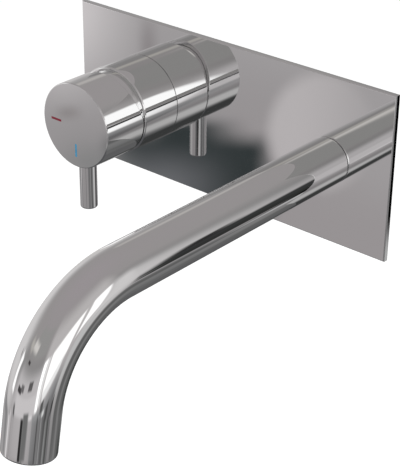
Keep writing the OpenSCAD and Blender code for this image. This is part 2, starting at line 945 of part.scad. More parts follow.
// Straight end of the tube, with its outer edge rounded
module spout_tip() {
    r = spout_r - weld_step;
    outlet_axis()
        rotate_extrude() {
            translate([0, -weld_reach])
                square([r, spout_drop - spout_edge + weld_reach]);
            square([r - spout_edge, spout_drop]);
            translate([r - spout_edge, spout_drop - spout_edge])
                circle(r = spout_edge);
        }
}

module spout_tube() {
    color(chrome) {
        difference() {
            union() {
                spout_bar(spout_r, 0);
                spout_tip();
            }
            spout_bar(spout_in_r, cut);
            outlet_axis()
                rod(spout_in_r - weld_step, -weld_reach, spout_drop + cut);
            spout_axis()
                drop_rod(lock_d / 2 + run_fit, 0, 0, -spout_r - cut, lock_y);
        }
        outlet_axis()
            ring(spout_in_r + spout_wall / 2, spout_in_r - washer_w, shoulder_in, shoulder_in + shoulder_t);
    }
}

// Grub screw under the spout, by the wall, which locks the tube on the nipple
module spout_screw() {
    tip = nipple_r - lock_depth + seat;
    color(steel)
        spout_axis()
            difference() {
                drop_rod(lock_d / 2, 0, -tip, -spout_r + loose, lock_y);
                translate([0, -spout_r + spout_wall, lock_y])
                    rotate([90, 0, 0])
                        cylinder(d = lock_d / 2, h = spout_wall, $fn = 6);
            }
}

// Threaded ring that holds the aerator in the outlet
module aerator_holder() {
    color(chrome)
        outlet_axis()
            difference() {
                rod(holder_r, holder_in, holder_out);
                rod(insert_r + push_fit, holder_in - cut, holder_out - holder_lip_t);
                rod(insert_r - holder_lip_w, holder_in, holder_out + cut);
            }
}

// Places its children at the cells of a hexagon of the given number of rings
module honeycomb(rings, pitch) {
    row_h = pitch * sin(60);
    for (row = [-rings : rings])
        for (i = [0 : 2 * rings - abs(row)])
            translate([(i - rings + abs(row) / 2) * pitch, row * row_h, 0])
                children();
}

module aerator_insert() {
    color(grey_plastic)
        outlet_axis()
            difference() {
                rod(insert_r, insert_in, insert_out);
                honeycomb(cell_rings, cell_pitch)
                    rotate([0, 0, 30])
                        translate([0, 0, insert_in - cut])
                            cylinder(d = (cell_pitch - cell_web) / cos(30), h = insert_out - insert_in + 2 * cut, $fn = 6);
            }
}

// Thin steel grid behind the honeycomb
module aerator_grid() {
    color(steel)
        outlet_axis()
            difference() {
                rod(insert_r, grid_in, insert_in);
                honeycomb(cell_rings, cell_pitch)
                    rod((cell_pitch - cell_web) / 3, grid_in - cut, insert_in + cut);
            }
}

module aerator_washer() {
    color(rubber)
        outlet_axis()
            ring(holder_r, spout_in_r - washer_w, washer_in, washer_in + washer_t);
}

cover_plate();
plate_foam();
control_sleeve();
sleeve_seal();
dome_cap();
handle_knob();
lever_pin();
handle_screw();
hot_mark();
cold_mark();
cartridge_nut();
cartridge_housing();
turning_guide();
pivot_pin();
stem();
disc_carrier();
moving_disc();
fixed_disc();
cartridge_base();
port_seals();
valve_body();
inlet_strainers();
spout_nipple();
nipple_seals();
spout_tube();
spout_screw();
aerator_holder();
aerator_insert();
aerator_grid();
aerator_washer();
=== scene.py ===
"""Looks of the wall-mounted basin mixer: polished chrome skins, marks, brass and plastics."""

import json
import math

import bmesh
import bpy
from mathutils import Matrix, Vector


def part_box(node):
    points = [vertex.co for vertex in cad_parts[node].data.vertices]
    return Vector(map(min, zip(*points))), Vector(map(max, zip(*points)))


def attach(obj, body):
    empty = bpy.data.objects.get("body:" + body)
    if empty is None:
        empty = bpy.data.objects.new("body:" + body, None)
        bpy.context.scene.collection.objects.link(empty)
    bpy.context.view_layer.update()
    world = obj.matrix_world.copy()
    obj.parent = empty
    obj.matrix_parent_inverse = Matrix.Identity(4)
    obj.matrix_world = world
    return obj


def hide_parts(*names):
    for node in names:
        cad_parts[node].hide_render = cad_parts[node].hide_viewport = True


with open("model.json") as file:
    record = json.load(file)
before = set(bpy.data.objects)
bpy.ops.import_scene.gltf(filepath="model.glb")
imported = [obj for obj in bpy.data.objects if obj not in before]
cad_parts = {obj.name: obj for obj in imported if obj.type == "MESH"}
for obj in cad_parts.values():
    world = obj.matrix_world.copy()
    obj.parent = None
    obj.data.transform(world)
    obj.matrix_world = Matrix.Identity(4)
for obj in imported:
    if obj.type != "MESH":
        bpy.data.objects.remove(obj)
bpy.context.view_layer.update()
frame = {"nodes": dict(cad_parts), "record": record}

MM = 0.001

# The photograph's width in pixels, and the camera that shows the part as it does: its place in
# metres, its angles in degrees and its focal length in those pixels
IMAGE_W = 400
CAMERA_PLACE = (423.359 * MM, -518.247 * MM, 289.147 * MM)
CAMERA_TURN = 40.434
CAMERA_DIP = 27.77
CAMERA_ROLL = 0.593
CAMERA_FOCAL_PX = 1434.496
CAMERA_NEAR = 10 * MM

# The next sizes are in millimetres and aren't in the frame's boxes.
# Cover plate: its metal, its folded edge, the rounding in front, and the holes behind the control
# and the spout
PLATE_SKIN = 1.6
PLATE_RIM = 2.0
PLATE_EDGE = 0.55
PLATE_HOLE_R = 19.8
NIPPLE_HOLE_R = 11.05
# Sleeve: its bore, the wider bore in front, the step between them, and the rounding in front
SLEEVE_BORE_R = 19.55
SLEEVE_FRONT_R = 21.03
SLEEVE_STEP = 11.1
SLEEVE_EDGE = 0.9
# Shadow grooves where sleeve and spout meet the plate, and the roundings beside them
SLEEVE_GROOVE = 0.14
SPOUT_GROOVE = 0.22
GROOVE_DEPTH = 0.8
SLEEVE_FOOT_EDGE = 0.2
SPOUT_FOOT_EDGE = 0.45
# Dome cap
DOME_WALL = 1.5
# Knob: its hollow, the lip that follows the dome and the air between them, the roundings of face
# and rear edge, and the slant of the rear edge in degrees
KNOB_HOLLOW_DEPTH = 13.5
KNOB_HOLLOW_R = 21.4
KNOB_LIP = 0.8
KNOB_LIP_GAP = 0.15
KNOB_EDGE = 0.6
KNOB_BACK_EDGE = 0.35
KNOB_RELIEF_ANGLE = 15.25
# Air round a mark in its recess
MARK_GAP = 0.02
# Lever, measured from the knob's axis: where its bar and its spigot start
LEVER_SEAT = 21.15
SPIGOT_R = 3.0
SPIGOT_TOP = 12.4
LEVER_EDGE = 1.0
# Spout: its straight run, its bend with an angle in degrees, its drop to the outlet, its wall and
# the rounding of the outlet
SPOUT_RUN = 148.487
BEND_R = 51.3
BEND_ANGLE = 79.5
SPOUT_DROP = 19.6
SPOUT_WALL = 1.5
SPOUT_EDGE = 1.1
# Short bands of faces by the spout's foot, bend and outlet, which keep its shading even
SPOUT_BAND = 1.0
OUTLET_BAND = 3.0
# Length of the cutters for the plate's holes, and how near counts as touching
CUTTER_DEPTH = 20.0
TOUCH = 0.01

# How finely round pieces are divided, so that mirror finishes show no facets
ROUND_STEPS = 192
BEND_STEPS = 96
HOLE_STEPS = 96
DOME_STEPS = 24
BEVEL_STEPS = 6
# Edges that turn by more degrees than this stay sharp
SHARP_ANGLE = 35
# Vertices closer than this, in metres, are one
MERGE_REACH = 1e-7


def mid(node, axis):
    """Middle of a CAD node's box along one axis."""
    low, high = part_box(node)
    return (low[axis] + high[axis]) / 2


def reach(node, axis):
    """Size of a CAD node's box along one axis."""
    low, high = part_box(node)
    return high[axis] - low[axis]


def out_of_wall(x):
    """Local Z out of the wall and local Y up, on the axis at x."""
    return Matrix.Translation((x, 0, 0)) @ Matrix.Rotation(math.pi / 2, 4, "X")


CONTROL = out_of_wall(mid("control_sleeve", 0))
SPOUT = out_of_wall(mid("spout_nipple", 0))


def shape(name, bm):
    """Links an object made of a bmesh."""
    mesh = bpy.data.meshes.new(name)
    bm.to_mesh(mesh)
    bm.free()
    piece = bpy.data.objects.new(name, mesh)
    bpy.context.scene.collection.objects.link(piece)
    return piece


def use_modifier(piece, kind, **settings):
    """Adds a modifier and applies it."""
    made = piece.modifiers.new(kind.lower(), kind)
    for key, value in settings.items():
        setattr(made, key, value)
    bpy.context.view_layer.objects.active = piece
    bpy.ops.object.modifier_apply(modifier=made.name)


def finish_piece(name, bm, body, node, cutters=(), wall=0.0):
    """Makes a piece of a bmesh, shades it, gives it its body and hides its CAD node."""
    bmesh.ops.remove_doubles(bm, verts=bm.verts, dist=MERGE_REACH)
    bmesh.ops.recalc_face_normals(bm, faces=bm.faces)
    piece = shape(name, bm)
    if wall:
        use_modifier(piece, "SOLIDIFY", thickness=wall, offset=-1)
    for cutter in cutters:
        tool = shape("cutter", cutter)
        use_modifier(piece, "BOOLEAN", object=tool, solver="EXACT")
        bpy.data.objects.remove(tool)
    piece.data.shade_smooth()
    piece.data.set_sharp_from_angle(angle=math.radians(SHARP_ANGLE))
    weighted = piece.modifiers.new("weighted_normals", "WEIGHTED_NORMAL")
    weighted.keep_sharp = True
    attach(piece, body)
    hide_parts(node)
    return piece


def lathe(points, place, closed=True):
    """Spins corners of (radius, height, rounding), in metres, about local Z of a placing matrix."""
    bm = bmesh.new()
    corners = [bm.verts.new((r, 0, z)) for r, z, _ in points]
    for a, b in zip(corners, corners[1:]):
        bm.edges.new((a, b))
    if closed:
        bm.edges.new((corners[-1], corners[0]))
    for corner, (_, _, rounding) in zip(corners, points):
        if rounding:
            bmesh.ops.bevel(
                bm, geom=[corner], offset=rounding, affect="VERTICES", segments=BEVEL_STEPS,
                profile=0.5, material=-1)
    bmesh.ops.spin(
        bm, geom=bm.verts[:] + bm.edges[:], cent=(0, 0, 0), axis=(0, 0, 1), angle=2 * math.pi,
        steps=ROUND_STEPS, use_merge=True)
    bmesh.ops.remove_doubles(bm, verts=bm.verts, dist=MERGE_REACH)
    bmesh.ops.transform(bm, matrix=place, verts=bm.verts)
    return bm


def box_between(low, high):
    """A box between two corners."""
    bm = bmesh.new()
    bmesh.ops.create_cube(bm, size=1)
    bmesh.ops.scale(bm, vec=high - low, verts=bm.verts)
    bmesh.ops.translate(bm, vec=(low + high) / 2, verts=bm.verts)
    return bm


def round_cutter(r, place):
    """A cylinder that cuts a hole through the plate."""
    bm = bmesh.new()
    bmesh.ops.create_cone(
        bm, cap_ends=True, segments=HOLE_STEPS, radius1=r, radius2=r, depth=CUTTER_DEPTH * MM,
        matrix=place)
    return bm


def make_plate():
    """Folded plate: softened front edges, a hollow back and two holes."""
    low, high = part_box("cover_plate")
    bm = box_between(low, high)
    front = [e for e in bm.edges if all(v.co.y < low.y + TOUCH * MM for v in e.verts)]
    bmesh.ops.bevel(
        bm, geom=front, offset=PLATE_EDGE * MM, affect="EDGES", segments=BEVEL_STEPS, profile=0.5,
        material=-1)
    back = [f for f in bm.faces if f.normal.y > 0.9]
    bmesh.ops.inset_region(bm, faces=back, thickness=PLATE_RIM * MM)
    moved = bmesh.ops.extrude_face_region(bm, geom=back)
    bmesh.ops.delete(bm, geom=back, context="FACES")
    floor = [v for v in moved["geom"] if isinstance(v, bmesh.types.BMVert)]
    bmesh.ops.translate(bm, vec=(0, PLATE_SKIN * MM - (high.y - low.y), 0), verts=floor)
    holes = [round_cutter(PLATE_HOLE_R * MM, CONTROL), round_cutter(NIPPLE_HOLE_R * MM, SPOUT)]
    return finish_piece("plate_skin", bm, "root", "cover_plate", cutters=holes)


def make_sleeve():
    """Fixed sleeve of the control: a soft front edge, and a shadow groove at the plate."""
    low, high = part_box("control_sleeve")
    r = (high.x - low.x) / 2
    back = -high.y
    front = -low.y
    groove = back + SLEEVE_GROOVE * MM
    root = r - GROOVE_DEPTH * MM
    step = back + SLEEVE_STEP * MM
    points = [
        (SLEEVE_BORE_R * MM, back, 0), (root, back, 0), (root, groove, 0),
        (r, groove, SLEEVE_FOOT_EDGE * MM), (r, front, SLEEVE_EDGE * MM),
        (SLEEVE_FRONT_R * MM, front, 0), (SLEEVE_FRONT_R * MM, step, 0),
        (SLEEVE_BORE_R * MM, step, 0)]
    return finish_piece("sleeve_skin", lathe(points, CONTROL), "root", "control_sleeve")


def make_knob():
    """Knob shell: its rear edge slants outwards above the tilt axis, its lip follows the dome."""
    low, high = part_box("handle_knob")
    r = (high.x - low.x) / 2
    back = -high.y
    face = -low.y
    roof = back + KNOB_HOLLOW_DEPTH * MM
    lip = back + KNOB_LIP * MM
    lip_r = reach("dome_cap", 0) / 2 + KNOB_LIP_GAP * MM
    points = [
        (0, face, 0), (r, face, KNOB_EDGE * MM), (r, back, KNOB_BACK_EDGE * MM),
        (lip_r, back, 0), (lip_r, lip, 0), (KNOB_HOLLOW_R * MM, lip, 0),
        (KNOB_HOLLOW_R * MM, roof, 0), (0, roof, 0)]
    bm = lathe(points, Matrix.Identity(4), closed=False)
    slope = math.tan(math.radians(KNOB_RELIEF_ANGLE))
    for v in bm.verts:
        if v.co.z > lip + TOUCH * MM:
            continue
        if v.co.y > 0:
            v.co.z += v.co.y * slope
        if v.co.xy.length < lip_r + TOUCH * MM:
            v.co.xy *= math.sqrt(lip_r ** 2 - (v.co.z - back) ** 2) / lip_r
    bmesh.ops.transform(bm, matrix=CONTROL, verts=bm.verts)
    gap = Vector((MARK_GAP, MARK_GAP, MARK_GAP)) * MM
    recesses = []
    for mark in ("hot_mark", "cold_mark"):
        mark_low, mark_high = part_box(mark)
        in_front = Vector((mark_low.x, mark_low.y - MM, mark_low.z))
        recesses.append(box_between(in_front - gap, mark_high + gap))
    return finish_piece("knob_skin", bm, "handle", "handle_knob", cutters=recesses)


def make_lever():
    """Lever bar with its spigot in the knob."""
    low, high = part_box("lever_pin")
    r = (high.x - low.x) / 2
    tip = -low.z
    ahead = Matrix.Translation((0, 0, -mid("lever_pin", 1)))
    place = CONTROL @ ahead @ Matrix.Rotation(math.pi / 2, 4, "X")
    points = [
        (0, SPIGOT_TOP * MM, 0), (SPIGOT_R * MM, SPIGOT_TOP * MM, 0),
        (SPIGOT_R * MM, LEVER_SEAT * MM, 0), (r, LEVER_SEAT * MM, 0),
        (r, tip, LEVER_EDGE * MM), (0, tip, 0)]
    return finish_piece("lever_skin", lathe(points, place, closed=False), "handle", "lever_pin")


def make_dome():
    """Cap under the knob: a skirt in the sleeve and a zone of a sphere about the tilt axis."""
    low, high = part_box("dome_cap")
    r = (high.x - low.x) / 2
    back = -high.y
    front = -low.y
    pivot = -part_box("handle_knob")[1].y
    opening = math.sqrt(r ** 2 - (front - pivot) ** 2)
    arc = math.atan2(front - pivot, opening)
    bm = bmesh.new()
    foot = bm.verts.new((r, 0, back))
    start = bm.verts.new((r, 0, pivot))
    bm.edges.new((foot, start))
    bmesh.ops.spin(
        bm, geom=[start], cent=(0, 0, pivot), axis=(0, -1, 0), angle=arc, steps=DOME_STEPS)
    bmesh.ops.spin(
        bm, geom=bm.verts[:] + bm.edges[:], cent=(0, 0, 0), axis=(0, 0, 1), angle=2 * math.pi,
        steps=ROUND_STEPS, use_merge=True)
    bmesh.ops.transform(bm, matrix=CONTROL, verts=bm.verts)
    return finish_piece("dome_skin", bm, "root", "dome_cap", wall=DOME_WALL * MM)


def make_spout():
    """Bent tube: a grooved foot, drawn out of the wall, round the bend and down to the outlet."""
    r = reach("spout_tube", 0) / 2
    inner = r - SPOUT_WALL * MM
    root = r - GROOVE_DEPTH * MM
    start = -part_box("spout_tube")[1].y
    groove = start + SPOUT_GROOVE * MM
    collar = groove + SPOUT_BAND * MM
    run = SPOUT_RUN * MM
    bm = lathe([
        (inner, collar, 0), (inner, start, 0), (root, start, 0), (root, groove, 0),
        (r, groove, SPOUT_FOOT_EDGE * MM), (r, collar, 0)], Matrix.Identity(4), closed=False)
    end = bmesh.ops.bridge_loops(bm, edges=[e for e in bm.edges if e.is_boundary])["faces"]

    def draw(faces, move):
        """Extrudes the tube's open end."""
        moved = bmesh.ops.extrude_face_region(bm, geom=faces)["geom"]
        bmesh.ops.delete(bm, geom=faces, context="FACES")
        verts = [g for g in moved if isinstance(g, bmesh.types.BMVert)]
        bmesh.ops.translate(bm, vec=move, verts=verts)
        return [g for g in moved if isinstance(g, bmesh.types.BMFace)]

    band = SPOUT_BAND * MM
    for length in (run - collar - band, band):
        end = draw(end, (0, 0, length))
    angle = math.radians(BEND_ANGLE)
    turned = bmesh.ops.spin(
        bm, geom=end, cent=(0, -BEND_R * MM, run), axis=(1, 0, 0), angle=angle,
        steps=BEND_STEPS)["geom_last"]
    bmesh.ops.delete(bm, geom=end, context="FACES")
    end = [g for g in turned if isinstance(g, bmesh.types.BMFace)]
    down = Vector((0, -math.sin(angle), math.cos(angle)))
    for length in (band, (SPOUT_DROP - SPOUT_BAND - OUTLET_BAND) * MM, OUTLET_BAND * MM):
        end = draw(end, down * length)
    bmesh.ops.remove_doubles(bm, verts=bm.verts, dist=MERGE_REACH)
    bend_end = Vector((0, math.cos(angle) - 1, math.sin(angle))) * BEND_R * MM
    outlet = Vector((0, 0, run)) + bend_end + down * SPOUT_DROP * MM
    outer_rim = {
        v for v in bm.verts if abs((v.co - outlet).dot(down)) < TOUCH * MM
        and (v.co - outlet).length > r - TOUCH * MM}
    rim = [e for e in bm.edges if outer_rim.issuperset(e.verts)]
    bmesh.ops.bevel(
        bm, geom=rim, offset=SPOUT_EDGE * MM, affect="EDGES", segments=BEVEL_STEPS, profile=0.5,
        material=-1)
    bmesh.ops.transform(bm, matrix=SPOUT, verts=bm.verts)
    return finish_piece("spout_skin", bm, "root", "spout_tube")


skins = [make_plate(), make_sleeve(), make_knob(), make_lever(), make_dome(), make_spout()]


def linear(colour):
    """Linear red, green, blue and 1 of an sRGB hex colour."""
    parts = [int(colour[i:i + 2], 16) / 255 for i in (1, 3, 5)]
    return (*[p / 12.92 if p <= 0.04045 else ((p + 0.055) / 1.055) ** 2.4 for p in parts], 1)


def add(tree, kind, sockets=None, **settings):
    """Adds a node with its settings. Sockets take values, outputs, or nodes for their output."""
    made = tree.nodes.new("ShaderNode" + kind)
    for key, value in settings.items():
        setattr(made, key, value)
    for key, value in (sockets or {}).items():
        if isinstance(value, bpy.types.Node):
            value = next(output for output in value.outputs if output.enabled)
        if isinstance(value, bpy.types.NodeSocket):
            tree.links.new(value, made.inputs[key])
        else:
            made.inputs[key].default_value = value
    return made


def per(size):
    """Texture scale that gives features of a size in millimetres."""
    return 1 / (size * MM)


# Sockets of Blender's Mix node for colours: the amount, and the colours at 0 and at 1
AMOUNT, FIRST, SECOND = 0, 6, 7
# Length in metres after which Blender's wave texture repeats at scale 1
WAVE_PERIOD = 0.314159


def polished_chrome(tree, place):
    """Buffed chrome plate: a clear grey mirror with a slow ripple and a faint haze."""
    haze = add(tree, "TexNoise", {"Vector": place, "Scale": per(9), "Detail": 3.0})
    ripple = add(tree, "TexNoise", {"Vector": place, "Scale": per(16), "Detail": 1.0})
    return {
        "Base Color": linear("#E7E7E7"), "Metallic": 1.0,
        "Roughness": add(tree, "MapRange", {"Value": haze, "To Min": 0.01, "To Max": 0.04}),
        "Normal": add(tree, "Bump", {"Height": ripple, "Distance": 0.004 * MM})}


def cast_brass(tree, place):
    """Gravity-cast brass, blasted: a dull yellow skin with sandy grit and darker pockets."""
    tone = add(tree, "TexNoise", {"Vector": place, "Scale": per(5), "Detail": 4.0})
    grit = add(tree, "TexNoise", {"Vector": place, "Scale": per(0.5), "Detail": 2.0})
    return {
        "Base Color": add(
            tree, "Mix", {AMOUNT: tone, FIRST: linear("#94763F"), SECOND: linear("#CFAE6E")},
            data_type="RGBA"),
        "Metallic": 1.0,
        "Roughness": add(tree, "MapRange", {"Value": tone, "To Min": 0.5, "To Max": 0.34}),
        "Normal": add(tree, "Bump", {"Height": grit, "Distance": 0.05 * MM})}


def turned_brass(tree, place):
    """Lathe-turned brass: bright yellow, with fine rings drawn 0.3 mm apart to show."""
    rings = add(
        tree, "TexWave", {"Vector": place, "Scale": WAVE_PERIOD * per(0.3), "Distortion": 0.3},
        bands_direction="Y")
    tone = add(tree, "TexNoise", {"Vector": place, "Scale": per(6), "Detail": 2.0})
    return {
        "Base Color": add(
            tree, "Mix", {AMOUNT: tone, FIRST: linear("#C2A05A"), SECOND: linear("#DCBF80")},
            data_type="RGBA"),
        "Metallic": 1.0,
        "Roughness": add(tree, "MapRange", {"Value": tone, "To Min": 0.18, "To Max": 0.3}),
        "Normal": add(tree, "Bump", {"Height": rings.outputs["Fac"], "Distance": 0.006 * MM})}


def turned_steel(tree, place):
    """Turned stainless steel: cool grey, satin, with fine rings drawn 0.25 mm apart to show."""
    rings = add(
        tree, "TexWave", {"Vector": place, "Scale": WAVE_PERIOD * per(0.25), "Distortion": 0.4},
        bands_direction="Y")
    tone = add(tree, "TexNoise", {"Vector": place, "Scale": per(4), "Detail": 2.0})
    return {
        "Base Color": add(
            tree, "Mix", {AMOUNT: tone, FIRST: linear("#A9AAAC"), SECOND: linear("#C6C6C6")},
            data_type="RGBA"),
        "Metallic": 1.0,
        "Roughness": add(tree, "MapRange", {"Value": tone, "To Min": 0.22, "To Max": 0.34}),
        "Normal": add(tree, "Bump", {"Height": rings.outputs["Fac"], "Distance": 0.005 * MM})}


def punched_steel(tree, place):
    """Punched stainless sheet of strainers and aerator grid: bright, with a drawn grain."""
    tone = add(tree, "TexNoise", {"Vector": place, "Scale": per(2), "Detail": 2.0})
    return {
        "Base Color": add(
            tree, "Mix", {AMOUNT: tone, FIRST: linear("#A2A3A5"), SECOND: linear("#D0D0CF")},
            data_type="RGBA"),
        "Metallic": 1.0,
        "Roughness": add(tree, "MapRange", {"Value": tone, "To Min": 0.25, "To Max": 0.4}),
        "Normal": add(tree, "Bump", {"Height": tone, "Distance": 0.01 * MM})}


def acetal(first, second):
    """Moulded acetal: an even, slightly waxy plastic with a fine moulded grain."""
    def pattern(tree, place):
        tone = add(tree, "TexNoise", {"Vector": place, "Scale": per(7), "Detail": 2.0})
        grain = add(tree, "TexNoise", {"Vector": place, "Scale": per(0.25), "Detail": 1.0})
        return {
            "Base Color": add(
                tree, "Mix", {AMOUNT: tone, FIRST: linear(first), SECOND: linear(second)},
                data_type="RGBA"),
            "IOR": 1.48,
            "Roughness": add(tree, "MapRange", {"Value": tone, "To Min": 0.36, "To Max": 0.5}),
            "Normal": add(tree, "Bump", {"Height": grain, "Distance": 0.008 * MM})}
    return pattern


def lapped_alumina(tree, place):
    """Sintered alumina, lapped: a dense ivory white with grey specks and a soft polish."""
    specks = add(tree, "TexVoronoi", {"Vector": place, "Scale": per(0.4)})
    tone = add(tree, "MapRange", {"Value": specks, "From Max": 0.35})
    return {
        "Base Color": add(
            tree, "Mix", {AMOUNT: tone, FIRST: linear("#CFCDC6"), SECOND: linear("#EFEDE6")},
            data_type="RGBA"),
        "IOR": 1.76,
        "Roughness": add(tree, "MapRange", {"Value": tone, "To Min": 0.22, "To Max": 0.14})}


def rubber(tree, place):
    """Moulded nitrile rubber: soft black with a dusty bloom."""
    bloom = add(tree, "TexNoise", {"Vector": place, "Scale": per(3), "Detail": 3.0})
    return {
        "Base Color": add(
            tree, "Mix", {AMOUNT: bloom, FIRST: linear("#141414"), SECOND: linear("#2A2A29")},
            data_type="RGBA"),
        "IOR": 1.52,
        "Roughness": add(tree, "MapRange", {"Value": bloom, "To Min": 0.42, "To Max": 0.62}),
        "Normal": add(tree, "Bump", {"Height": bloom, "Distance": 0.02 * MM})}


def closed_cell_foam(tree, place):
    """Closed-cell rubber foam: matt charcoal with cells 0.7 mm across."""
    cells = add(tree, "TexVoronoi", {"Vector": place, "Scale": per(0.7)})
    return {
        "Base Color": add(
            tree, "Mix", {AMOUNT: cells, FIRST: linear("#19191A"), SECOND: linear("#333334")},
            data_type="RGBA"),
        "IOR": 1.5,
        "Roughness": 0.9,
        "Normal": add(tree, "Bump", {"Height": cells, "Distance": 0.2 * MM, "Strength": 0.6})}


def enamel(deep, clear):
    """Filled enamel, baked: a strong colour under a glassy, faintly uneven top."""
    def pattern(tree, place):
        flow = add(tree, "TexNoise", {"Vector": place, "Scale": per(1.5), "Detail": 1.0})
        return {
            "Base Color": add(
                tree, "Mix", {AMOUNT: flow, FIRST: linear(deep), SECOND: linear(clear)},
                data_type="RGBA"),
            "IOR": 1.5,
            "Roughness": add(tree, "MapRange", {"Value": flow, "To Min": 0.12, "To Max": 0.22}),
            "Normal": add(tree, "Bump", {"Height": flow, "Distance": 0.006 * MM})}
    return pattern


# What each piece is made and finished of
FINISHES = {
    "polished_chrome_plate": (
        polished_chrome,
        ("plate_skin", "sleeve_skin", "knob_skin", "lever_skin", "dome_skin", "spout_skin")),
    "cast_brass": (cast_brass, ("valve_body",)),
    "turned_brass": (turned_brass, ("cartridge_nut", "spout_nipple")),
    "turned_stainless_steel": (turned_steel, ("handle_screw", "pivot_pin", "stem", "spout_screw")),
    "punched_stainless_sheet": (punched_steel, ("inlet_strainers", "aerator_grid")),
    "moulded_white_acetal": (acetal("#E2E1DB", "#EDECE7"), ()),
    "moulded_grey_acetal": (acetal("#6B7178", "#7C8289"), ()),
    "lapped_alumina": (lapped_alumina, ("moving_disc", "fixed_disc")),
    "moulded_nitrile_rubber": (rubber, ()),
    "closed_cell_foam": (closed_cell_foam, ("plate_foam",)),
    "baked_crimson_enamel": (enamel("#5E0F1F", "#7C1A2D"), ("hot_mark",)),
    "baked_blue_enamel": (enamel("#2A6F90", "#3F88AC"), ("cold_mark",)),
}
SLOT_FINISHES = {
    "white_acetal": "moulded_white_acetal", "grey_acetal": "moulded_grey_acetal",
    "black_rubber": "moulded_nitrile_rubber"}


def make_materials():
    """Gives every piece its finish by name, and the other CAD nodes theirs by material slot."""
    slots = {part["node"]: part["material_slot"] for part in frame["record"]["subparts"]}
    by_piece = {}
    made = {}
    for name, (pattern, pieces) in FINISHES.items():
        material = bpy.data.materials.new(name)
        material.use_nodes = True
        tree = material.node_tree
        tree.nodes.clear()
        place = add(tree, "TexCoord").outputs["Object"]
        add(tree, "OutputMaterial", {"Surface": add(tree, "BsdfPrincipled", pattern(tree, place))})
        made[name] = material
        by_piece.update({piece: material for piece in pieces})
    for node, cad in frame["nodes"].items():
        by_slot = SLOT_FINISHES.get(slots[node], "polished_chrome_plate")
        material = by_piece.get(node, made[by_slot])
        if cad.material_slots:
            for slot in cad.material_slots:
                slot.material = material
        else:
            cad.data.materials.append(material)
    for piece in skins:
        piece.data.materials.clear()
        piece.data.materials.append(by_piece[piece.name])


make_materials()

